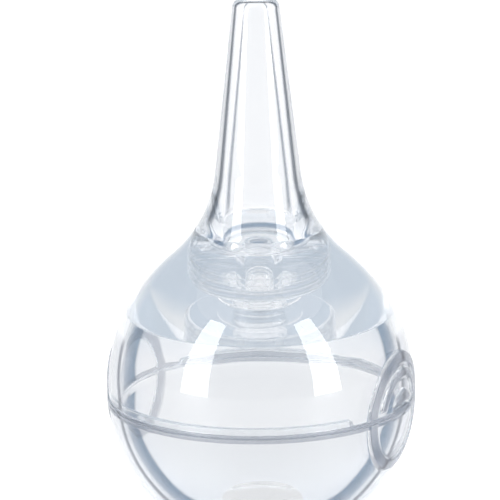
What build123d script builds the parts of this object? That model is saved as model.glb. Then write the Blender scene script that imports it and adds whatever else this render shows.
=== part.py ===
from build123d import *
from math import asin, cos, degrees, radians, sin, sqrt
import os

os.makedirs("parts", exist_ok=True)

# A clear bulb nasal aspirator. It stands on a flat under the bulb: the origin is the middle of
# that flat, +Z runs up through the nozzle, and the two round grip pads lie at +X and -X.
# All sizes are in millimetres, and a "level" is a height above the lower hemisphere's centre.

# Bulb
BULB_R = 26.0  # outside radius of both hemispheres
WALL = 1.8
BAND = 2.5  # short straight band between the two hemispheres' centres
FOOT_R = 8.5  # flat that the bulb stands on
BASE_R = 7.4  # thick round floor over the flat
BASE_T = 6.6
SEAM_LEVEL = -0.5  # the two shells part here
BEAD_H = 1.4  # raised bead along the seam
BEAD_OUT = 0.25
BEAD_EDGE = 0.2

# Lap joint between the shells: two tongues on the lower one, in grooves in the upper one
TONGUE_H = 1.5
TONGUE_IN = 0.1  # its inner face is set back this far from the chamber's wall
TONGUE_T = 0.75
TONGUE_ARC = 120.0  # degrees of each tongue, one in front and one behind
LAP_GAP = 0.1
LAP_END_ARC = 1.0  # the groove is this many degrees longer than the tongue

# Round grip pads on the seam
PAD_R = 10.2
PAD_RING_IN = 8.2
PAD_OUT = 0.4
PAD_GAP = 0.15  # round the pad that moves, where the wall flexes
RIDGE_OUT_R = 7.3
RIDGE_IN_R = 5.9
EYE_R = 3.8  # small raised half disc inside the ridge
EYE_LIFT = 1.6  # gap between the seam and the marks above it
SLOT_L = 6.6  # narrow slot in that gap
SLOT_H = 0.8
SLOT_DEEP = 0.8

# Neck: one hollow curve runs from the nozzle's taper to the bulb's shoulder. Inside, the neck
# and shoulder are solid down to the chamber's flat ceiling, bored for the nozzle's plug and stem
NECK_CURVE_R = 22.6
SHOULDER_R = 46.0  # flatter arc between the upper hemisphere and that curve
NECK_TOP = 29.0  # level of the rim that the nozzle sits on
NECK_STEP = 0.15  # the nozzle's skirt lies this far inside the rim
SOCKET_R = 9.65  # holds the plug
SOCKET_END = 16.8
STEM_BORE_R = 5.3  # lets the stem through the web under the socket
CEILING = 13.9
CEILING_EDGE = 1.5

# Nozzle
TIP_TOP = 68.4
TIP_R = 4.0
TIP_ROUND = 1.5
TAPER_END = 38.8
TAPER_END_R = 7.25
PLUG_R = 9.05
PLUG_END = 17.0
PLUG_RIBS = (17.7, 19.0, 20.3, 21.6)
PLUG_RIB_OUT = 0.55
STEM_R = 4.9
STEM_END = 10.0
STEM_RIBS = (10.9, 12.0, 13.1, 14.8, 15.9)
STEM_RIB_OUT = 0.35
BORE_R = 3.0  # through the stem and most of the plug
CHANNEL_R = 6.8  # foot of the tapered channel above the bore, which leaves an even wall
CHANNEL_END = 24.5
CHANNEL_EDGE = 2.8
MOUTH_R = 1.9

LOW_Z = sqrt(BULB_R**2 - FOOT_R**2)  # centre of the lower hemisphere
HIGH_Z = LOW_Z + BAND  # centre of the upper hemisphere
SEAM_Z = LOW_Z + SEAM_LEVEL
CAVITY_R = BULB_R - WALL
RAISED_R = BULB_R + PAD_OUT
REACH = 2 * BULB_R  # longer than any wall it cuts

SEAM_PLANE = Plane.XY.offset(SEAM_Z)
PAD_PLANE = Plane(origin=(0, 0, SEAM_Z), x_dir=(0, 1, 0), z_dir=(1, 0, 0))


def level(radius, height):
    """A point of a meridian, its height given above the lower hemisphere's centre."""
    return Vector(radius, LOW_Z + height)


def on_sphere(radius, centre_z, angle):
    """The point of a meridian at that angle above its sphere's equator."""
    return Vector(radius * cos(radians(angle)), centre_z + radius * sin(radians(angle)))


def sphere_angle(radius, rise):
    """The angle above the equator at which a sphere's meridian has risen that far."""
    return degrees(asin(rise / radius))


def left_crossing(centre_a, radius_a, centre_b, radius_b):
    """Where two circles cross, on the side nearer the axis."""
    apart = (centre_b - centre_a).length
    along = (centre_b - centre_a).normalized()
    reach = (radius_a**2 - radius_b**2 + apart**2) / (2 * apart)
    side = Vector(-along.Y, along.X) * sqrt(radius_a**2 - reach**2)
    middle = centre_a + along * reach
    return min(middle + side, middle - side, key=lambda point: point.X)


# The neck's meridian. The hollow curve's centre lies square off the end of the nozzle's taper,
# and the shoulder's centre is where its arc touches both that curve and the upper hemisphere.
taper_start = level(TIP_R, TIP_TOP - TIP_ROUND)
taper_end = level(TAPER_END_R, TAPER_END)
taper_way = (taper_end - taper_start).normalized()
curve_centre = taper_end + Vector(-taper_way.Y, taper_way.X) * NECK_CURVE_R
upper_centre = level(0, BAND)
shoulder_centre = left_crossing(
    upper_centre, SHOULDER_R - BULB_R, curve_centre, SHOULDER_R + NECK_CURVE_R
)
shoulder_low = shoulder_centre + (upper_centre - shoulder_centre).normalized() * SHOULDER_R
shoulder_top = shoulder_centre + (curve_centre - shoulder_centre).normalized() * SHOULDER_R
neck_drop = curve_centre.Y - (LOW_Z + NECK_TOP)
neck_rim = level(curve_centre.X - sqrt(NECK_CURVE_R**2 - neck_drop**2), NECK_TOP)


def arc_middle(centre, radius, start, end):
    """The middle point of the shorter arc between two points of a circle."""
    return centre + ((start + end) / 2 - centre).normalized() * radius


# The outside of the bulb as one closed form, foot to neck, with the bead round its seam
foot_angle = -sphere_angle(BULB_R, LOW_Z)
shoulder_angle = sphere_angle(BULB_R, shoulder_low.Y - HIGH_Z)
shoulder_mid = arc_middle(shoulder_centre, SHOULDER_R, shoulder_low, shoulder_top)
curve_mid = arc_middle(curve_centre, NECK_CURVE_R, shoulder_top, neck_rim)

with BuildPart() as outer_form:
    with BuildSketch(Plane.XZ):
        with BuildLine():
            Line((0, 0), (FOOT_R, 0))
            ThreePointArc((FOOT_R, 0), on_sphere(BULB_R, LOW_Z, foot_angle / 2), level(BULB_R, 0))
            Line(level(BULB_R, 0), level(BULB_R, BAND))
            ThreePointArc(
                level(BULB_R, BAND), on_sphere(BULB_R, HIGH_Z, shoulder_angle / 2), shoulder_low
            )
            ThreePointArc(shoulder_low, shoulder_mid, shoulder_top)
            ThreePointArc(shoulder_top, curve_mid, neck_rim)
            Polyline(neck_rim, level(0, NECK_TOP), (0, 0))
        make_face()
        with Locations((BULB_R, SEAM_Z)):
            RectangleRounded(2 * BEAD_OUT, BEAD_H, BEAD_EDGE)
    revolve(axis=Axis.Z)

# The hollow inside the bulb, with the thick floor below it and the stepped bore above
base_low = LOW_Z - sqrt(CAVITY_R**2 - BASE_R**2)
base_angle = sphere_angle(CAVITY_R, base_low - LOW_Z)
ceiling_r = sqrt(CAVITY_R**2 - (CEILING - BAND) ** 2)
ceiling_angle = sphere_angle(CAVITY_R, CEILING - BAND)

with BuildPart() as cavity:
    with BuildSketch(Plane.XZ) as half_section:
        with BuildLine():
            Polyline((0, BASE_T), (BASE_R, BASE_T), (BASE_R, base_low))
            ThreePointArc(
                (BASE_R, base_low), on_sphere(CAVITY_R, LOW_Z, base_angle / 2), level(CAVITY_R, 0)
            )
            Line(level(CAVITY_R, 0), level(CAVITY_R, BAND))
            ThreePointArc(
                level(CAVITY_R, BAND),
                on_sphere(CAVITY_R, HIGH_Z, ceiling_angle / 2),
                level(ceiling_r, CEILING),
            )
            Polyline(
                level(ceiling_r, CEILING),
                level(STEM_BORE_R, CEILING),
                level(STEM_BORE_R, SOCKET_END),
                level(SOCKET_R, SOCKET_END),
                level(SOCKET_R, NECK_TOP + 1),
                level(0, NECK_TOP + 1),
                (0, BASE_T),
            )
        make_face()
        ceiling_corner = level(ceiling_r, CEILING)
        fillet(half_section.vertices().sort_by_distance(ceiling_corner)[0], CEILING_EDGE)
    revolve(axis=Axis.Z)

# What is raised on the pads ends at this second skin, PAD_OUT outside the bulb's own
with BuildPart() as raised_form:
    with BuildSketch(Plane.XZ):
        with BuildLine():
            ThreePointArc(
                level(0, -RAISED_R), on_sphere(RAISED_R, LOW_Z, -45), level(RAISED_R, 0)
            )
            Line(level(RAISED_R, 0), level(RAISED_R, BAND))
            ThreePointArc(
                level(RAISED_R, BAND), on_sphere(RAISED_R, HIGH_Z, 45), level(0, BAND + RAISED_R)
            )
            Line(level(0, BAND + RAISED_R), level(0, -RAISED_R))
        make_face()
    revolve(axis=Axis.Z)

# The raised marks of the pads: a ring on each, and a half ring and a half disc at +X
with BuildPart() as pad_marks:
    with BuildSketch(PAD_PLANE):
        Circle(PAD_R)
        Circle(PAD_RING_IN, mode=Mode.SUBTRACT)
    extrude(amount=REACH, both=True)
    with BuildSketch(PAD_PLANE):
        Circle(RIDGE_OUT_R)
        Circle(RIDGE_IN_R, mode=Mode.SUBTRACT)
        Circle(EYE_R)
        with Locations((0, EYE_LIFT - PAD_R)):
            Rectangle(2 * PAD_R, 2 * PAD_R, mode=Mode.SUBTRACT)
    extrude(amount=REACH)
    add(raised_form.part, mode=Mode.INTERSECT)
    add(cavity.part, mode=Mode.SUBTRACT)

# The whole wall of the bulb, before it is parted
with BuildPart() as bulb_wall:
    add(outer_form.part)
    add(pad_marks.part)
    add(cavity.part, mode=Mode.SUBTRACT)

# The round patch of wall that a thumb presses, and the hole that it moves in
with BuildPart() as press_patch:
    with BuildSketch(PAD_PLANE):
        Circle(PAD_R)
    extrude(amount=REACH)

with BuildPart() as press_hole:
    with BuildSketch(PAD_PLANE):
        Circle(PAD_R + PAD_GAP)
    extrude(amount=REACH)


def lap_strips(inner_r, outer_r, arc, height):
    """Two curved strips standing on the seam plane, one in front and one behind."""
    with BuildPart() as strips:
        for facing in (-90, 90):
            with BuildSketch(SEAM_PLANE):
                with BuildLine():
                    outer = CenterArc((0, 0), outer_r, facing - arc / 2, arc)
                    inner = CenterArc((0, 0), inner_r, facing - arc / 2, arc)
                    Line(outer @ 0, inner @ 0)
                    Line(outer @ 1, inner @ 1)
                make_face()
            extrude(amount=height)
    return strips.part


tongue_in_r = CAVITY_R + TONGUE_IN
tongue_out_r = tongue_in_r + TONGUE_T
groove_arc = TONGUE_ARC + LAP_END_ARC

# Upper shell: dome, solid shoulder and bored neck, grooved inside its lower edge
with BuildPart() as bulb_upper:
    add(bulb_wall.part)
    split(bisect_by=SEAM_PLANE, keep=Keep.TOP)
    add(
        lap_strips(CAVITY_R - 1, tongue_out_r + LAP_GAP, groove_arc, TONGUE_H + LAP_GAP),
        mode=Mode.SUBTRACT,
    )
    add(press_hole.part, mode=Mode.SUBTRACT)

# Lower shell: cup, thick floor and foot, with the two tongues standing on its edge
with BuildPart() as bulb_lower:
    add(bulb_wall.part)
    split(bisect_by=SEAM_PLANE, keep=Keep.BOTTOM)
    add(lap_strips(tongue_in_r, tongue_out_r, TONGUE_ARC, TONGUE_H))
    add(press_hole.part, mode=Mode.SUBTRACT)

# The pressed patch in two halves, one in each shell; the upper one has a narrow slot
with BuildPart() as thumb_pad_upper:
    add(bulb_wall.part)
    split(bisect_by=SEAM_PLANE, keep=Keep.TOP)
    add(press_patch.part, mode=Mode.INTERSECT)
    with BuildSketch(PAD_PLANE.offset(BULB_R - SLOT_DEEP)):
        with Locations((0, EYE_LIFT - SLOT_H / 2)):
            Rectangle(SLOT_L, SLOT_H)
    extrude(amount=REACH, mode=Mode.SUBTRACT)

with BuildPart() as thumb_pad_lower:
    add(bulb_wall.part)
    split(bisect_by=SEAM_PLANE, keep=Keep.BOTTOM)
    add(press_patch.part, mode=Mode.INTERSECT)

# Nozzle: a tapered tube whose flared skirt sits on the neck's rim, a ribbed plug that the neck
# grips, and a thinner ribbed stem that reaches down through the ceiling into the bulb
skirt_edge = neck_rim - Vector(NECK_STEP, 0)

with BuildPart() as nozzle:
    with BuildSketch(Plane.XZ) as nozzle_section:
        with BuildLine():
            Line(level(MOUTH_R, TIP_TOP), level(TIP_R - TIP_ROUND, TIP_TOP))
            TangentArc(level(TIP_R - TIP_ROUND, TIP_TOP), taper_start, tangent=(1, 0))
            taper = Line(taper_start, taper_end)
            TangentArc(taper_end, skirt_edge, tangent=taper % 1)
            Polyline(
                skirt_edge,
                level(PLUG_R, NECK_TOP),
                level(PLUG_R, PLUG_END),
                level(STEM_R, PLUG_END),
                level(STEM_R, STEM_END),
                level(BORE_R, STEM_END),
                level(BORE_R, CHANNEL_END),
                level(CHANNEL_R, CHANNEL_END),
                level(MOUTH_R, TIP_TOP),
            )
        make_face()
        channel_corner = level(CHANNEL_R, CHANNEL_END)
        fillet(nozzle_section.vertices().sort_by_distance(channel_corner)[0], CHANNEL_EDGE)
        with Locations(*[level(PLUG_R, rib) for rib in PLUG_RIBS]):
            Circle(PLUG_RIB_OUT)
        with Locations(*[level(STEM_R, rib) for rib in STEM_RIBS]):
            Circle(STEM_RIB_OUT)
    revolve(axis=Axis.Z)

for name, sub_part in (
    ("nozzle", nozzle),
    ("bulb_upper", bulb_upper),
    ("bulb_lower", bulb_lower),
    ("thumb_pad_upper", thumb_pad_upper),
    ("thumb_pad_lower", thumb_pad_lower),
):
    sub_part.part.label = name
    export_step(sub_part.part, f"parts/{name}.step")
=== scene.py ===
from math import acos, atan2, cos, pi, radians, sin, sqrt, tan

import bmesh
import bpy
import numpy as np
from mathutils import Euler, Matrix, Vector


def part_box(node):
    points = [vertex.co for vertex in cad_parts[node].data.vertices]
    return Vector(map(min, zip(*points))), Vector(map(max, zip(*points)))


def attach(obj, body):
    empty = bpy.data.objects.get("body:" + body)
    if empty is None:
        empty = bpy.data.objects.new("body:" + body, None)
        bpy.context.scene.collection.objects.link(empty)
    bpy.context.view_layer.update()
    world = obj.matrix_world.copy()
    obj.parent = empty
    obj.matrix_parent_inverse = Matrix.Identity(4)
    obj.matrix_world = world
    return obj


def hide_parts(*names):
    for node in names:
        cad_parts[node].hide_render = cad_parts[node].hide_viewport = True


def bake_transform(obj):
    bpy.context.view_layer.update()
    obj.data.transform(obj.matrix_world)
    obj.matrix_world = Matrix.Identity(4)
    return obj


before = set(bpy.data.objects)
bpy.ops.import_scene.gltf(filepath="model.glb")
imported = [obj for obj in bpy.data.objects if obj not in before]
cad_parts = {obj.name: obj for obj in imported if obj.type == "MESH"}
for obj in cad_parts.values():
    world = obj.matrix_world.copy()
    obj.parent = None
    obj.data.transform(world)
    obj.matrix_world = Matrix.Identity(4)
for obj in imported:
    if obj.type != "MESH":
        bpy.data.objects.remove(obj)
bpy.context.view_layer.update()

# A clear bulb nasal aspirator: a hard nozzle pushed into a soft bulb of two shells.
# Lengths below are in millimetres and are scaled to metres where meshes are made. A "level" is a
# height above the centre of the lower hemisphere, and a "z" is a height above the foot.
MM = 0.001

# ---------------------------------------------------------------- sizes

# The bead along the seam
BEAD_H = 1.4
BEAD_OUT = 0.25
BEAD_EDGE = 0.2
BEAD_FOOT = 0.15  # rounds the corner where the bead leaves the wall

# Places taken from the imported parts
SEAM_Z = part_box("bulb_upper")[0][2] / MM
RIM_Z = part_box("bulb_upper")[1][2] / MM
TIP_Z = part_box("nozzle")[1][2] / MM
STEM_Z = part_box("nozzle")[0][2] / MM
BULB_R = (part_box("bulb_lower")[1][1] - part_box("bulb_lower")[0][1]) / 2 / MM - BEAD_OUT

# The bulb
WALL = 1.8
BAND = 2.5  # the straight stretch between the two hemispheres
FOOT_EDGE = 0.8
BASE_R = 7.4
BASE_T = 6.6
BASE_ROUND = 2.3
BASE_FILLET = 1.4
SEAM_LEVEL = -0.5
INNER_TOP_LEVEL = -1.0  # the lower shell's inner wall is round below this
CAVITY_R = BULB_R - WALL
LOW_Z = SEAM_Z - SEAM_LEVEL  # the centre of the lower hemisphere
HIGH_Z = LOW_Z + BAND  # and of the upper one

# The lap joint between the shells
SEAM_GAP = 0.02  # half the air gap between the two shells
SEAM_EDGE = 0.12
TONGUE_H = 1.5
TONGUE_LOW = 0.15  # what is left of the tongue past its ends
TONGUE_OUT_R = 25.05
TONGUE_END = 30.0  # degrees from the pads' axis
TONGUE_CORNER = 0.7
TONGUE_SHOULDER = 0.35  # the share of its height at which a tongue's rounded end begins
TONGUE_EDGE = 0.2
TONGUE_DRAFT = 0.04  # how far a tongue's sides lean in
LAP_GAP = 0.1
LAP_END_GAP = 0.25
LAP_EDGE = 0.06

# The grip pads
PAD_R = 10.2
PAD_RING_IN = 8.2
PAD_OUT = 0.38
PAD_EDGE = 0.5
PAD_MARGIN = 1.0  # the fine rows of the mesh reach this far past the pads
RIDGE_OUT_R = 7.3
RIDGE_IN_R = 5.9
EYE_R = 3.8
EYE_LIFT = 1.6
SLOT_L = 6.6
SLOT_H = 0.8
SLOT_DROP = 0.2  # below the other marks' lower edge
SLOT_DEEP = 0.5
SLOT_EDGE = 0.3
SLOT_END_EDGE = 0.4

# The neck
NECK_CURVE_R = 22.6
SHOULDER_R = 46.0
NECK_STEP = 0.04  # how far the neck's rim stands out past the nozzle's skirt
RIM_EDGE = 0.04
SEAT_GAP = -0.03  # the soft rim gives a little under the nozzle's skirt
SQUEEZE = 0.05  # the soft neck closes in on the plug by this
SOCKET_LEVEL = 16.8
SOCKET_EDGE = 0.1
STEM_BORE_R = 5.3  # through the web between socket and ceiling
STEM_BORE_EDGE = 0.3
CEILING_LEVEL = 13.9  # the chamber's flat ceiling
CEILING_ROUND = 0.25

# The nozzle
TIP_R = 4.0
TIP_ROUND = 1.5
TAPER_LEVEL = 38.8
TAPER_END_R = 7.25
PLUG_R = 9.05
PLUG_LEVEL = 17.0
PLUG_EDGE = 0.1
PLUG_RIBS = (17.7, 19.0, 20.3, 21.6)
PLUG_RIB = (0.55, 0.55)  # half its height, and how far it stands out
STEM_R = 4.9
STEM_EDGE = 0.2
STEM_RIBS = (10.9, 12.0, 13.1, 14.8, 15.9)
STEM_RIB = (0.45, 0.35)
RIB_CROWN = 0.8  # below 1 makes a rib fuller than half an ellipse
BORE_R = 3.0
BORE_EDGE = 0.4
CHANNEL_R = 6.8
CHANNEL_LEVEL = 24.5
CHANNEL_ROUND = 2.8
MOUTH_R = 1.9
MOUTH_EDGE = 0.35

# Where the walls of the bulb and of the nozzle are thin, and how far that takes to fade in
BULB_THIN_TO = 11.2
BULB_FADE = 1.2
NOZZLE_THIN_FROM = 29.5
NOZZLE_FADE = 2.5

# The mesh: the spacing of its rows along an outline, some rows by number, and its steps round
FINE = 0.2  # on the pads
COARSE = 0.9
NECK_SPACING = 0.6
SKIRT_SPACING = 0.5
TIP_SPACING = 0.15
INNER_SPACING = 1.0
TAPER_ROWS = 30
CORNER_ROWS = 6
RIB_ROWS = 9
GROOVE_SHARES = (0.35, 0.7, 0.9)  # rows of the inner wall on the way up to the groove
CORNER_SHARE = 0.45  # a rounding takes at most this share of each side
PAD_ARC = 32  # degrees each side of the pads' axis with the finer steps
PAD_STEPS = 64
SIDE_STEPS = 33
NOZZLE_STEPS = 192


# ---------------------------------------------------------------- outlines

def at(radius, level):
    """A point of a meridian, from its level."""
    return np.array((radius, LOW_Z + level))


def unit(v):
    return v / np.linalg.norm(v)


def left_crossing(centre_a, radius_a, centre_b, radius_b):
    """Where two circles cross, on the side nearer the axis."""
    apart = np.linalg.norm(centre_b - centre_a)
    along = unit(centre_b - centre_a)
    reach = (radius_a**2 - radius_b**2 + apart**2) / (2 * apart)
    side = np.array((-along[1], along[0])) * sqrt(radius_a**2 - reach**2)
    middle = centre_a + along * reach
    return min(middle + side, middle - side, key=lambda point: point[0])


def sphere_point(centre, radius, height):
    """The meridian point of a sphere at that height above its centre."""
    return centre + np.array((sqrt(radius**2 - height**2), height))


def arc(centre, start, end, spacing):
    """Points of the shorter arc from start to end, both included."""
    a = atan2(*(start - centre)[::-1])
    turn = (atan2(*(end - centre)[::-1]) - a + pi) % (2 * pi) - pi
    radius = np.linalg.norm(start - centre)
    count = max(2, int(np.ceil(abs(turn) * radius / spacing)))
    angles = a + turn * np.linspace(0, 1, count + 1)
    return [centre + radius * np.array((cos(t), sin(t))) for t in angles]


def rounded(corner, before, after, rounding):
    """Points of the curve that rounds a corner off, given the ways to its two neighbours."""
    bend = acos(np.clip(unit(before) @ unit(after), -1, 1))
    reach = min(
        rounding / tan(bend / 2),
        CORNER_SHARE * np.linalg.norm(before),
        CORNER_SHARE * np.linalg.norm(after),
    )
    a, b = corner + unit(before) * reach, corner + unit(after) * reach
    shares = np.linspace(0, 1, CORNER_ROWS)
    return [(1 - t) ** 2 * a + 2 * t * (1 - t) * corner + t**2 * b for t in shares]


class Outline:
    """A meridian as a list of corners. Each has the radius that rounds it off, the number of rows
    up to the next corner, and the zone of the surface it lies on."""

    def __init__(self):
        self.corners = []

    def add(self, point, rounding=0.0, rows=1, zone="plain"):
        self.corners.append((np.array(point, float), rounding, rows, zone))

    def add_all(self, points, zone="plain"):
        for point in points:
            self.add(point, zone=zone)

    def points(self, closed):
        """The dense points and their zones. Each corner always gives the same number of points."""
        corners, zones, rows = [], [], []
        total = len(self.corners)
        for i, (corner, rounding, count, zone) in enumerate(self.corners):
            points = [corner]
            if rounding and (closed or 0 < i < total - 1):
                before = self.corners[i - 1][0] - corner
                after = self.corners[(i + 1) % total][0] - corner
                points = rounded(corner, before, after, rounding)
            corners += points
            zones += [zone] * len(points)
            rows += [1] * (len(points) - 1) + [count]
        if not closed:
            rows[-1] = 1
        dense, dense_zones = [], []
        for i, point in enumerate(corners):
            following = corners[(i + 1) % len(corners)]
            dense += [point + (following - point) * k / rows[i] for k in range(rows[i])]
            dense_zones += [zones[i]] * rows[i]
        return np.array(dense), dense_zones


def ribbed_side(line, radius, levels, half, proud):
    """Adds rounded ribs to a straight side, from the top one down."""
    for level in sorted(levels, reverse=True):
        line.add_all(
            at(radius + proud * sin(t) ** RIB_CROWN, level + cos(t) * half)
            for t in np.linspace(0, pi, RIB_ROWS)
        )


# The outside is one smooth line: hemisphere, shoulder, the neck's hollow curve and the taper
taper_start = np.array((TIP_R, TIP_Z - TIP_ROUND))
taper_end = at(TAPER_END_R, TAPER_LEVEL)
taper_way = unit(taper_end - taper_start)
curve_centre = taper_end + np.array((-taper_way[1], taper_way[0])) * NECK_CURVE_R
upper_centre = at(0, BAND)
lower_centre = at(0, 0)
shoulder_centre = left_crossing(
    upper_centre, SHOULDER_R - BULB_R, curve_centre, SHOULDER_R + NECK_CURVE_R
)
shoulder_low = shoulder_centre + unit(upper_centre - shoulder_centre) * SHOULDER_R
shoulder_top = shoulder_centre + unit(curve_centre - shoulder_centre) * SHOULDER_R
neck_rim_r = curve_centre[0] - sqrt(NECK_CURVE_R**2 - (curve_centre[1] - RIM_Z) ** 2)


# An arc's ends are left out below where a corner already stands there or needs room for its
# rounding.

def upper_outline(groove):
    """The upper shell's meridian, closed, with its groove that high."""
    seam = SEAM_Z + SEAM_GAP
    bead_top = SEAM_Z + BEAD_H / 2
    fine_end = sphere_point(upper_centre, BULB_R, SEAM_Z + PAD_R + PAD_MARGIN - HIGH_Z)
    rim = np.array((neck_rim_r, RIM_Z))
    line = Outline()
    line.add((BULB_R + BEAD_OUT, seam), SEAM_EDGE, zone="outer")
    line.add((BULB_R + BEAD_OUT, bead_top), BEAD_EDGE, zone="outer")
    line.add((BULB_R, bead_top), BEAD_FOOT, rows=12, zone="outer")
    line.add_all(arc(upper_centre, at(BULB_R, BAND), fine_end, FINE), "outer")
    line.add_all(arc(upper_centre, fine_end, shoulder_low, COARSE)[1:], "outer")
    line.add_all(arc(shoulder_centre, shoulder_low, shoulder_top, COARSE)[1:], "outer")
    line.add_all(arc(curve_centre, shoulder_top, rim, NECK_SPACING)[1:-1], "outer")
    line.add(rim, RIM_EDGE, rows=3, zone="seat")
    line.add((PLUG_R - SQUEEZE, RIM_Z), SOCKET_EDGE, rows=3, zone="seat")
    ribbed_side(line, PLUG_R - SQUEEZE, PLUG_RIBS, *PLUG_RIB)
    line.add(at(PLUG_R - SQUEEZE, SOCKET_LEVEL), SOCKET_EDGE, rows=3)
    line.add(at(STEM_BORE_R, SOCKET_LEVEL), SOCKET_EDGE, rows=3)
    line.add(at(STEM_BORE_R, CEILING_LEVEL), STEM_BORE_EDGE, rows=20)
    ceiling_end = sphere_point(upper_centre, CAVITY_R, CEILING_LEVEL - BAND)
    line.add(ceiling_end, CEILING_ROUND)
    inner_low = at(CAVITY_R, BAND)
    line.add_all(arc(upper_centre, ceiling_end, inner_low, INNER_SPACING)[3:], "inner")
    groove_top = np.array((CAVITY_R, seam + groove))
    line.add_all((inner_low + (groove_top - inner_low) * t for t in GROOVE_SHARES), "inner")
    line.add(groove_top, SEAM_EDGE, rows=2)
    line.add((TONGUE_OUT_R + LAP_GAP, seam + groove), SEAM_EDGE, rows=3)
    line.add((TONGUE_OUT_R + LAP_GAP + TONGUE_DRAFT, seam), LAP_EDGE, rows=2)
    return line.points(closed=True)


def lower_outline(tongue):
    """The lower shell's meridian from the axis under the foot to the axis on the floor."""
    seam = SEAM_Z - SEAM_GAP
    bead_low = SEAM_Z - BEAD_H / 2
    foot_end = sphere_point(lower_centre, BULB_R, -LOW_Z)
    fine_end = sphere_point(lower_centre, BULB_R, SEAM_Z - PAD_R - PAD_MARGIN - LOW_Z)
    wall_top = sphere_point(lower_centre, BULB_R, bead_low - LOW_Z)
    line = Outline()
    line.add((0, 0), rows=8)
    line.add(foot_end, FOOT_EDGE)
    line.add_all(arc(lower_centre, foot_end, fine_end, COARSE)[2:-1], "outer")
    line.add_all(arc(lower_centre, fine_end, wall_top, FINE)[:-2], "outer")
    line.add(wall_top, BEAD_FOOT, zone="outer")
    line.add((BULB_R + BEAD_OUT, bead_low), BEAD_EDGE, zone="outer")
    line.add((BULB_R + BEAD_OUT, seam), SEAM_EDGE, rows=2, zone="outer")
    line.add((TONGUE_OUT_R + TONGUE_DRAFT, seam), LAP_EDGE, rows=3)
    line.add((TONGUE_OUT_R, seam + tongue), TONGUE_EDGE, rows=2)
    line.add((CAVITY_R + TONGUE_DRAFT, seam + tongue), TONGUE_EDGE, rows=3)
    inner_top = at(CAVITY_R, INNER_TOP_LEVEL)
    line.add(inner_top)
    base_low = sphere_point(lower_centre, CAVITY_R, -sqrt(CAVITY_R**2 - BASE_R**2))
    line.add_all(arc(lower_centre, inner_top, base_low, INNER_SPACING)[1:-2], "inner")
    line.add(base_low, BASE_FILLET, rows=3)
    line.add((BASE_R, BASE_T), BASE_ROUND, rows=8)
    line.add((0, BASE_T))
    return line.points(closed=False)


def nozzle_outline():
    """The nozzle's meridian, closed: outside down, ribs, then up the bore and channel."""
    seat = RIM_Z + SEAT_GAP
    skirt = np.array((neck_rim_r - NECK_STEP, seat))
    tip_centre = np.array((TIP_R - TIP_ROUND, TIP_Z - TIP_ROUND))
    tip_top = np.array((TIP_R - TIP_ROUND, TIP_Z))
    down_taper = np.linspace(0, 1, TAPER_ROWS)[1:]
    line = Outline()
    line.add((MOUTH_R, TIP_Z), MOUTH_EDGE, rows=2)
    line.add_all(arc(tip_centre, tip_top, taper_start, TIP_SPACING), "outer")
    line.add_all((taper_start + (taper_end - taper_start) * t for t in down_taper), "outer")
    line.add_all(arc(curve_centre, taper_end, skirt, SKIRT_SPACING)[1:-1], "outer")
    line.add(skirt, RIM_EDGE, rows=3, zone="seat")
    line.add((PLUG_R, seat), PLUG_EDGE, rows=3, zone="seat")
    ribbed_side(line, PLUG_R, PLUG_RIBS, *PLUG_RIB)
    line.add(at(PLUG_R, PLUG_LEVEL), PLUG_EDGE, rows=2)
    line.add(at(STEM_R, PLUG_LEVEL), PLUG_EDGE)
    ribbed_side(line, STEM_R, STEM_RIBS, *STEM_RIB)
    line.add((STEM_R, STEM_Z), STEM_EDGE)
    line.add((BORE_R, STEM_Z), STEM_EDGE, rows=20)
    line.add(at(BORE_R, CHANNEL_LEVEL), BORE_EDGE, rows=3)
    line.add(at(CHANNEL_R, CHANNEL_LEVEL), CHANNEL_ROUND, rows=40, zone="inner")
    return line.points(closed=True)


# ---------------------------------------------------------------- meshes

SLOTS = {"seat": 1, "inner": 2}  # the material slots of these zones; all others take slot 0


def smooth(t):
    t = np.clip(t, 0, 1)
    return t * t * (3 - 2 * t)


def band(value, low, high, edge):
    """1 between low and high, falling to 0 over edge at each."""
    return smooth((value - low) / edge + 0.5) * smooth((high - value) / edge + 0.5)


def pad_relief(x, y, z):
    """How far the pads' marks stand out at each point, in millimetres."""
    up = z - SEAM_Z
    away = np.hypot(y, up)
    ring = band(away, PAD_RING_IN, PAD_R, PAD_EDGE)
    above = smooth((up - EYE_LIFT) / PAD_EDGE + 0.5)
    ridge = band(away, RIDGE_IN_R, RIDGE_OUT_R, PAD_EDGE) * above
    eye = smooth((EYE_R - away) / PAD_EDGE + 0.5) * above
    slot_top = EYE_LIFT - SLOT_DROP
    slot = band(up, slot_top - SLOT_H, slot_top, SLOT_EDGE)
    slot = slot * smooth((SLOT_L / 2 - np.abs(y)) / SLOT_END_EDGE + 0.5)
    marks = np.maximum(np.maximum(ridge, eye) * (x > 0), ring)
    return PAD_OUT * marks - SLOT_DEEP * slot * (x > 0)


def pad_angles():
    """Angles round the axis, close together on the pads and at the tongues' ends."""
    on_pad = np.linspace(0, PAD_ARC, PAD_STEPS + 1)[:-1]
    beside = np.linspace(PAD_ARC, 90, SIDE_STEPS + 1)[:-1]
    quarter = np.concatenate((on_pad, beside))
    back_quarter = np.append(quarter[1:], 90)[::-1]
    quarters = (quarter, 180 - back_quarter, 180 + quarter, 360 - back_quarter)
    return np.radians(np.concatenate(quarters))


def tongue_share(angles, grow):
    """0 past the tongues' ends and 1 along them, with rounded upper corners."""
    from_axis = np.abs((np.degrees(angles) + 90) % 180 - 90)
    inside = (from_axis - TONGUE_END) * radians(1) * CAVITY_R + grow
    t = np.clip(inside / TONGUE_CORNER, 0, 1)
    curve = TONGUE_SHOULDER + (1 - TONGUE_SHOULDER) * np.sqrt(1 - (1 - t) ** 2)
    return np.where(inside > 0, curve, 0.0)


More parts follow.
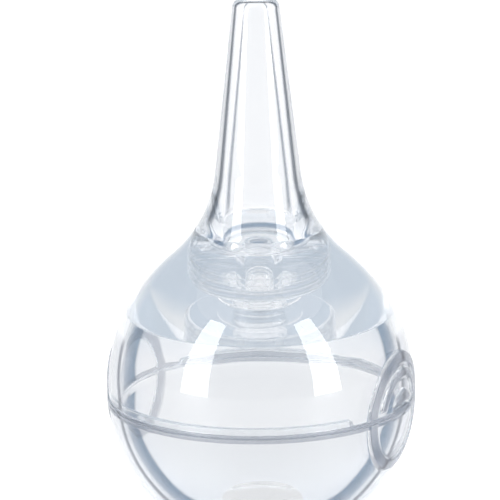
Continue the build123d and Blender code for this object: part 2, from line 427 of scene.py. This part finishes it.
def thin_share(level):
    """1 where the bulb's and the nozzle's walls are thin, and 0 at the thick shoulder between."""
    bulb = 1 - smooth((level - BULB_THIN_TO) / BULB_FADE)
    nozzle = smooth((level - NOZZLE_THIN_FROM) / NOZZLE_FADE)
    return np.maximum(bulb, nozzle)


def raise_pads(radius, height, line, zones, angles):
    """Lifts the outer wall by the pads' relief, and gives each point its share of frosting, which
    is rougher and also carries a painted shade.
    """
    outer = np.array([zone == "outer" for zone in zones])[:, None]
    centre = np.where(line[:, 1] > HIGH_Z, HIGH_Z, np.minimum(line[:, 1], LOW_Z))
    way = np.stack((line[:, 0], line[:, 1] - centre), 1)
    length = np.linalg.norm(way, axis=1)
    way = way / np.maximum(length, 1e-9)[:, None]
    on_bead = np.abs(line[:, 1] - SEAM_Z) < BEAD_H
    proud = np.where(on_bead, np.maximum(length - BULB_R, 0), 0)[:, None]
    raised = pad_relief(radius * np.cos(angles), radius * np.sin(angles), height)
    out = np.where(raised > 0, np.maximum(raised - proud, 0), raised) * outer
    frost_and_shade = np.maximum(smooth(raised / PAD_OUT), smooth(proud / BEAD_OUT)) * outer
    return radius + out * way[:, :1], height + out * way[:, 1:], frost_and_shade


def mark_points(mesh, name, values):
    """Keeps one number for each point of the mesh, for its material to read."""
    marks = mesh.attributes.new(name, "FLOAT", "POINT")
    marks.data.foreach_set("value", values)


def finish_mesh(mesh, loose):
    """Removes the loose points, turns every face outward and shades it smooth."""
    bm = bmesh.new()
    bm.from_mesh(mesh)
    bm.verts.ensure_lookup_table()
    bmesh.ops.delete(bm, geom=[bm.verts[i] for i in loose], context="VERTS")
    bmesh.ops.recalc_face_normals(bm, faces=bm.faces)
    if bm.calc_volume(signed=True) < 0:
        bmesh.ops.reverse_faces(bm, faces=bm.faces)
    for face in bm.faces:
        face.smooth = True
    bm.to_mesh(mesh)
    bm.free()


def lathe(name, outlines, zones, share, angles, closed, pads):
    """Turns a meridian about Z. share mixes the two outlines given, at each angle."""
    low, high = outlines
    rows, turns = len(low), len(angles)
    meridian = low[:, None, :] + (high - low)[:, None, :] * share[None, :, None]
    radius, height = meridian[..., 0], meridian[..., 1]
    frost_and_shade = np.zeros((rows, turns))
    if pads:
        radius, height, frost_and_shade = raise_pads(radius, height, low, zones, angles)
    points = np.stack((radius * np.cos(angles), radius * np.sin(angles), height), -1)

    ring = np.arange(turns)
    beside = (ring + 1) % turns
    faces, slots, loose = [], [], []
    for i in range(rows) if closed else range(1, rows - 2):
        j = (i + 1) % rows
        zone = zones[i] if zones[i] == zones[j] else "plain"
        slots += [SLOTS.get(zone, 0)] * turns
        quads = (i * turns + ring, i * turns + beside, j * turns + beside, j * turns + ring)
        faces += np.stack(quads, 1).tolist()
    if not closed:  # the first and last rows lie on the axis, and one point stands for each
        end = (rows - 1) * turns
        before = end - turns
        sides = list(zip(ring.tolist(), beside.tolist()))
        slots += [0] * (2 * turns)
        faces += [(0, turns + b, turns + a) for a, b in sides]
        faces += [(end, before + a, before + b) for a, b in sides]
        loose = [*range(1, turns), *range(end + 1, end + turns)]

    mesh = bpy.data.meshes.new(name)
    mesh.from_pydata(points.reshape(-1, 3) * MM, [], faces)
    # Thin walls take the painted shade at an angle, and thick stretches a plain colour
    walls = np.isin(zones, ("outer", "inner")) * thin_share(low[:, 1] - LOW_Z)
    mark_points(mesh, "wall", np.repeat(walls, turns))
    mark_points(mesh, "inside", np.repeat(np.isin(zones, "plain").astype(float), turns))
    mark_points(mesh, "frost_and_shade", frost_and_shade.ravel())
    mesh.polygons.foreach_set("material_index", slots)
    finish_mesh(mesh, loose)
    piece = bpy.data.objects.new(name, mesh)
    bpy.context.scene.collection.objects.link(piece)
    return piece


round_angles = pad_angles()
plain_angles = np.linspace(0, 2 * pi, NOZZLE_STEPS, endpoint=False)

upper_low, upper_zones = upper_outline(TONGUE_LOW + LAP_GAP)
upper_high, _ = upper_outline(TONGUE_H + LAP_GAP)
upper_skin = lathe(
    "upper_shell_skin", (upper_low, upper_high), upper_zones,
    tongue_share(round_angles, LAP_END_GAP), round_angles, closed=True, pads=True,
)

lower_low, lower_zones = lower_outline(TONGUE_LOW)
lower_high, _ = lower_outline(TONGUE_H)
lower_skin = lathe(
    "lower_shell_skin", (lower_low, lower_high), lower_zones,
    tongue_share(round_angles, 0.0), round_angles, closed=False, pads=True,
)

nozzle_line, nozzle_zones = nozzle_outline()
nozzle_skin = lathe(
    "nozzle_skin", (nozzle_line, nozzle_line), nozzle_zones,
    np.zeros(NOZZLE_STEPS), plain_angles, closed=True, pads=False,
)


# ---------------------------------------------------------------- materials

# Of a thin wall, "clear" is the colour seen straight on and "rim" the one at the edge of sight,
# and the slant stops lie between: a share of the way there, and a colour. The dark stops and the
# rim are painted shade, standing in for the dim room seen through a wall at an angle. "thick" is
# the colour of the thick stretches, from every side, with no painted shade. "rough" and "haze" are
# the least and the most roughness.
SLANT_FROM = 0.25
FROST_ROUGH = 0.22  # how much rougher the frosted seam and pad rings are
INSIDE_ROUGH = 0.02  # and the moulded surfaces inside the neck
HAZE_DETAIL = 6.0
HAZE_NOISE = (0.35, 0.75)  # the noise values between which the haze grows
WAVE_DETAIL = 2.0
WAVE_SCALE = 0.6  # of the waves' noise, as a share of the haze's
WAVE_DEPTH = 0.0004  # metres
SOFT = {
    "ior": 1.41,
    "clear": (0.885, 0.89, 0.895),
    "thick": (0.83, 0.85, 0.87),
    # painted shade: the dark grey that multiplies the colour of the frosted seam bead and pad
    # rings
    "frost_and_shade": (0.34, 0.36, 0.41),
    "slant_shade": (
        (0.45, (0.80, 0.81, 0.83)),
        (0.61, (0.70, 0.72, 0.75)),
        (0.635, (0.06, 0.07, 0.09)),
        (0.66, (0.05, 0.06, 0.08)),
        (0.69, (0.48, 0.51, 0.55)),
        (0.80, (0.50, 0.52, 0.54)),
    ),
    "rim": (0.58, 0.60, 0.62),
    "painted_glow": (0.84, 0.90, 0.96),  # painted light: a faint glow standing in for room light that the plastic's haze scatters
    "painted_glow_share": 0.01,
    "rough": 0.02,
    "haze": 0.06,
    "bump": 0.25,
    "scale": 120,
    "shadow": (0.965, 0.968, 0.972),
}
# On the inner surfaces the painted shade at an angle is a dark blue band
SOFT_INNER = dict(SOFT, rim=(0.80, 0.82, 0.84), slant_shade=(
    (0.45, (0.80, 0.81, 0.83)),
    (0.53, (0.72, 0.75, 0.79)),
    (0.565, (0.03, 0.07, 0.13)),
    (0.63, (0.04, 0.08, 0.15)),
    (0.74, (0.12, 0.17, 0.24)),
    (0.79, (0.50, 0.54, 0.59)),
))
# The lower shell's thin walls are darker, painted shade for the shaded floor seen through them;
# its thick base is lighter
SHADED_LOWER = {"clear": (0.815, 0.825, 0.835), "thick": (0.92, 0.925, 0.93)}
# On the nozzle the painted shade at an angle is a near-black band that greys towards the rim
HARD = dict(
    SOFT,
    clear=(0.90, 0.905, 0.91),
    thick=(0.97, 0.97, 0.97),
    slant_shade=(
        (0.37, (0.76, 0.78, 0.80)),
        (0.44, (0.06, 0.07, 0.09)),
        (0.525, (0.01, 0.015, 0.02)),
        (0.57, (0.25, 0.27, 0.30)),
        (0.62, (0.45, 0.46, 0.48)),
        (0.80, (0.55, 0.56, 0.57)),
    ),
    rim=(0.62, 0.62, 0.62),
    painted_glow=(0.88, 0.92, 0.96),
    rough=0.01,
    haze=0.03,
    bump=0.12,
    scale=160,
)
# Inside the nozzle the painted shade at an angle is a dark grey band
HARD_INNER = dict(HARD, rim=(0.80, 0.82, 0.84), slant_shade=(
    (0.46, (0.86, 0.88, 0.90)),
    (0.54, (0.12, 0.14, 0.18)),
    (0.66, (0.12, 0.14, 0.18)),
    (0.72, (0.60, 0.64, 0.68)),
))
# the flat faces where nozzle and neck press together, wetted out so that light passes straight on
SEAT = dict(
    HARD, ior=1.0, clear=(1.0, 1.0, 1.0), thick=(1.0, 1.0, 1.0), slant_shade=(), rim=(1.0, 1.0, 1.0),
    rough=0.0, haze=0.01, bump=0.0, painted_glow_share=0.0,
)


def new_node(tree, kind, **settings):
    """Adds a node. A setting is one of its properties or, with _ for a space, of its sockets."""
    node = tree.nodes.new("ShaderNode" + kind)
    for name, value in settings.items():
        if hasattr(node, name):
            setattr(node, name, value)
        else:
            node.inputs[name.replace("_", " ")].default_value = value
    return node


def fill_ramp(ramp, stops):
    """Gives a colour ramp these stops, each a place from 0 to 1 and a colour."""
    elements = ramp.color_ramp.elements
    for element, (place, colour) in ((elements[0], stops[0]), (elements[1], stops[-1])):
        element.position = place
        element.color = (*colour, 1)
    for place, colour in stops[1:-1]:
        elements.new(place).color = (*colour, 1)


def clear_colour(tree, finish, frost_and_shade):
    """Painted shade: thin walls darken when seen at an angle, standing in for the dim room seen
    through their edges. Thick stretches don't, and the frosting's painted shade is darker than
    both.
    """
    slant_shade = new_node(tree, "LayerWeight", Blend=0.5)
    edge_shade_ramp = new_node(tree, "ValToRGB")
    fill_ramp(edge_shade_ramp, ((SLANT_FROM, finish["clear"]), *finish["slant_shade"], (1.0, finish["rim"])))
    wall = new_node(tree, "Attribute", attribute_name="wall")
    seen = new_node(tree, "Mix", data_type="RGBA")
    seen.inputs["A"].default_value = (*finish["thick"], 1)
    # painted shade: the frosting darkens the colour here
    frost_shaded = new_node(tree, "Mix", data_type="RGBA", blend_type="MULTIPLY")
    frost_shaded.inputs["B"].default_value = (*finish["frost_and_shade"], 1)
    link = tree.links.new
    link(slant_shade.outputs["Facing"], edge_shade_ramp.inputs["Fac"])
    link(wall.outputs["Fac"], seen.inputs["Factor"])
    link(edge_shade_ramp.outputs["Color"], seen.inputs["B"])
    link(frost_and_shade.outputs["Fac"], frost_shaded.inputs["Factor"])
    link(seen.outputs["Result"], frost_shaded.inputs["A"])
    return frost_shaded.outputs["Result"]


def clear_roughness(tree, finish, frost_and_shade, place):
    """Faint cloudy haze, with more of it on the frosting and inside the neck."""
    haze = new_node(tree, "TexNoise", Scale=finish["scale"], Detail=HAZE_DETAIL)
    amount = new_node(
        tree, "MapRange", From_Min=HAZE_NOISE[0], From_Max=HAZE_NOISE[1],
        To_Min=finish["rough"], To_Max=finish["haze"],
    )
    rougher = new_node(tree, "Math", operation="MULTIPLY_ADD")
    rougher.inputs[1].default_value = FROST_ROUGH
    inside = new_node(tree, "Attribute", attribute_name="inside")
    duller = new_node(tree, "Math", operation="MULTIPLY_ADD")
    duller.inputs[1].default_value = INSIDE_ROUGH
    link = tree.links.new
    link(place, haze.inputs["Vector"])
    link(haze.outputs["Fac"], amount.inputs["Value"])
    link(frost_and_shade.outputs["Fac"], rougher.inputs[0])
    link(amount.outputs["Result"], rougher.inputs[2])
    link(inside.outputs["Fac"], duller.inputs[0])
    link(rougher.outputs["Value"], duller.inputs[2])
    return duller.outputs["Value"]


def clear_waves(tree, finish, place):
    """The slight waviness of a moulded surface."""
    noise = new_node(tree, "TexNoise", Scale=finish["scale"] * WAVE_SCALE, Detail=WAVE_DETAIL)
    bump = new_node(tree, "Bump", Strength=finish["bump"], Distance=WAVE_DEPTH)
    tree.links.new(place, noise.inputs["Vector"])
    tree.links.new(noise.outputs["Fac"], bump.inputs["Height"])
    return bump.outputs["Normal"]


def clear_material(name, finish):
    """Clear plastic with faint haze, painted shade at its edges and a faint painted glow, which
    casts only a faint shadow.
    """
    material = bpy.data.materials.new(name)
    material.use_nodes = True
    tree = material.node_tree
    tree.nodes.clear()
    place = new_node(tree, "TexCoord").outputs["Object"]
    frost_and_shade = new_node(tree, "Attribute", attribute_name="frost_and_shade")
    # The emission is painted light: a faint glow in place of scattered room light
    body = new_node(
        tree, "BsdfPrincipled", IOR=finish["ior"], Transmission_Weight=1.0,
        Emission_Color=(*finish["painted_glow"], 1), Emission_Strength=finish["painted_glow_share"],
    )
    light_path = new_node(tree, "LightPath")
    through = new_node(tree, "BsdfTransparent", Color=(*finish["shadow"], 1))
    mix = new_node(tree, "MixShader")
    out = new_node(tree, "OutputMaterial")
    link = tree.links.new
    link(clear_colour(tree, finish, frost_and_shade), body.inputs["Base Color"])
    link(clear_roughness(tree, finish, frost_and_shade, place), body.inputs["Roughness"])
    link(clear_waves(tree, finish, place), body.inputs["Normal"])
    link(light_path.outputs["Is Shadow Ray"], mix.inputs[0])
    link(body.outputs["BSDF"], mix.inputs[1])
    link(through.outputs["BSDF"], mix.inputs[2])
    link(mix.outputs["Shader"], out.inputs["Surface"])
    return material


seat_clear = clear_material("clear_seat", SEAT)
for skin, name, outer, inner in (
    (upper_skin, "clear_soft_upper", SOFT, SOFT_INNER),
    (lower_skin, "clear_soft_lower_shaded", dict(SOFT, **SHADED_LOWER), dict(SOFT_INNER, **SHADED_LOWER)),
    (nozzle_skin, "clear_hard", HARD, HARD_INNER),
):
    skin.data.materials.append(clear_material(name, outer))
    skin.data.materials.append(seat_clear)
    skin.data.materials.append(clear_material(name + "_inner", inner))


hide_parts("bulb_upper", "thumb_pad_upper")
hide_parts("bulb_lower", "thumb_pad_lower")
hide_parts("nozzle")
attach(nozzle_skin, "nozzle")
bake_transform(upper_skin)
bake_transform(lower_skin)


# ---------------------------------------------------------------- stage

# Sizes and distances of the stage are in metres, and the picture's framing in millimetres
FLOOR_SIZE = 6.0
FLOOR_COLOUR = (0.9, 0.9, 0.9)
FLOOR_ROUGH = 0.6
FLOOR_GLOW = 0.2  # keeps the floor white under the clear object

CAMERA_AZIMUTH = 24.0
CAMERA_RISE = 14.0
CAMERA_AWAY = 0.606
CAMERA_CLIP = 0.01
FRAME_WIDTH = 84.947  # of what the picture takes in, as far away as the aim point
AIM_LEVEL = 22.2
AIM_OFF = (1.563, 2.922)  # the aim point lies this far right of and below the picture's middle
ROLL = 0.8

HORIZON = (0.92, 0.93, 0.94)
ROOM = (0.65, 0.72, 0.80)
OVERHEAD = (0.62, 0.68, 0.74)
SKY = ((0.0, HORIZON), (0.06, HORIZON), (0.22, ROOM), (1.0, OVERHEAD))  # by a direction's height
DIM_FROM = 0.2  # cosines of the angle from the camera's side, between which the room dims
DIM_TO = 0.85
DIM_SHARE = 0.8

STRIP_SIZE = (0.95, 3.2)
STRIP_TURN = 51  # degrees round from the camera, to each side
STRIP_AWAY = 2.5
STRIP_FOOT = 0.02
STRIP_POWER = 110.0
SUN_STRENGTH = 1.30
SUN_COLOUR = (1.0, 0.86, 0.75)
SUN_SPREAD = 80  # degrees

BOUNCES = 40  # light crosses many clear walls and turns back inside the thick shoulder


def plain_material(name, colour, rough, glow):
    material = bpy.data.materials.new(name)
    material.use_nodes = True
    body = material.node_tree.nodes["Principled BSDF"]
    body.inputs["Base Color"].default_value = (*colour, 1)
    body.inputs["Roughness"].default_value = rough
    body.inputs["Emission Color"].default_value = (1, 1, 1, 1)
    body.inputs["Emission Strength"].default_value = glow
    return material


def round_about(azimuth, rise):
    """The unit vector from the object towards that azimuth and elevation."""
    a, e = radians(azimuth), radians(rise)
    return Vector((sin(a) * cos(e), -cos(a) * cos(e), sin(e)))


def studio_world():
    """Soft room light: pale at the horizon, blue-grey overhead, dim on the camera's side."""
    world = bpy.data.worlds.new("studio")
    bpy.context.scene.world = world
    world.use_nodes = True
    tree = world.node_tree
    direction = new_node(tree, "TexCoord").outputs["Generated"]
    split = new_node(tree, "SeparateXYZ")
    ramp = new_node(tree, "ValToRGB")
    fill_ramp(ramp, SKY)
    facing = new_node(tree, "VectorMath", operation="DOT_PRODUCT")
    facing.inputs[1].default_value = round_about(CAMERA_AZIMUTH, 0)
    dim = new_node(
        tree, "MapRange", interpolation_type="SMOOTHSTEP",
        From_Min=DIM_FROM, From_Max=DIM_TO, To_Min=1.0, To_Max=DIM_SHARE,
    )
    scale = new_node(tree, "VectorMath", operation="SCALE")
    link = tree.links.new
    link(direction, split.inputs["Vector"])
    link(direction, facing.inputs[0])
    link(split.outputs["Z"], ramp.inputs["Fac"])
    link(facing.outputs["Value"], dim.inputs["Value"])
    link(ramp.outputs["Color"], scale.inputs[0])
    link(dim.outputs["Result"], scale.inputs["Scale"])
    link(scale.outputs["Vector"], tree.nodes["Background"].inputs["Color"])


def softbox(name, azimuth):
    """A tall lamp that faces the object. It shows in reflections and doesn't light the floor."""
    lamp = bpy.data.lights.new(name, "AREA")
    lamp.shape = "RECTANGLE"
    lamp.size, lamp.size_y = STRIP_SIZE
    lamp.energy = STRIP_POWER
    box = bpy.data.objects.new(name, lamp)
    bpy.context.scene.collection.objects.link(box)
    way = round_about(azimuth, 0)
    box.location = way * STRIP_AWAY + Vector((0, 0, STRIP_FOOT + STRIP_SIZE[1] / 2))
    box.rotation_euler = (-way).to_track_quat("-Z", "Y").to_euler()
    box.visible_transmission = False
    box.visible_diffuse = False


def overhead_light():
    """One very wide, very soft light from straight above, even over the whole floor."""
    lamp = bpy.data.lights.new("overhead", "SUN")
    lamp.energy = SUN_STRENGTH
    lamp.color = SUN_COLOUR
    lamp.angle = radians(SUN_SPREAD)
    light = bpy.data.objects.new("overhead", lamp)
    bpy.context.scene.collection.objects.link(light)
    light.visible_transmission = False


bpy.ops.mesh.primitive_plane_add(size=FLOOR_SIZE)
floor = bpy.context.object
floor.name = "floor"
floor.data.materials.append(plain_material("pale_floor", FLOOR_COLOUR, FLOOR_ROUGH, FLOOR_GLOW))

aim = Vector((0, 0, (LOW_Z + AIM_LEVEL) * MM))
back = round_about(CAMERA_AZIMUTH, CAMERA_RISE)
camera_data = bpy.data.cameras.new("camera")
camera = bpy.data.objects.new("camera", camera_data)
bpy.context.scene.collection.objects.link(camera)
bpy.context.scene.camera = camera
turn = (-back).to_track_quat("-Z", "Y") @ Euler((0, 0, radians(-ROLL))).to_quaternion()
right, up = turn @ Vector((1, 0, 0)), turn @ Vector((0, 1, 0))
shift = (up * AIM_OFF[1] - right * AIM_OFF[0]) * MM
camera.location = aim + back * CAMERA_AWAY + shift
camera.rotation_euler = turn.to_euler()
camera_data.lens = camera_data.sensor_width * CAMERA_AWAY / (FRAME_WIDTH * MM)
camera_data.clip_start = CAMERA_CLIP

studio_world()
softbox("left_strip", CAMERA_AZIMUTH - STRIP_TURN)
softbox("right_strip", CAMERA_AZIMUTH + STRIP_TURN)
overhead_light()

scene = bpy.context.scene
scene.view_settings.view_transform = "Standard"
scene.cycles.max_bounces = BOUNCES
scene.cycles.glossy_bounces = BOUNCES
scene.cycles.transmission_bounces = BOUNCES
scene.cycles.transparent_max_bounces = BOUNCES
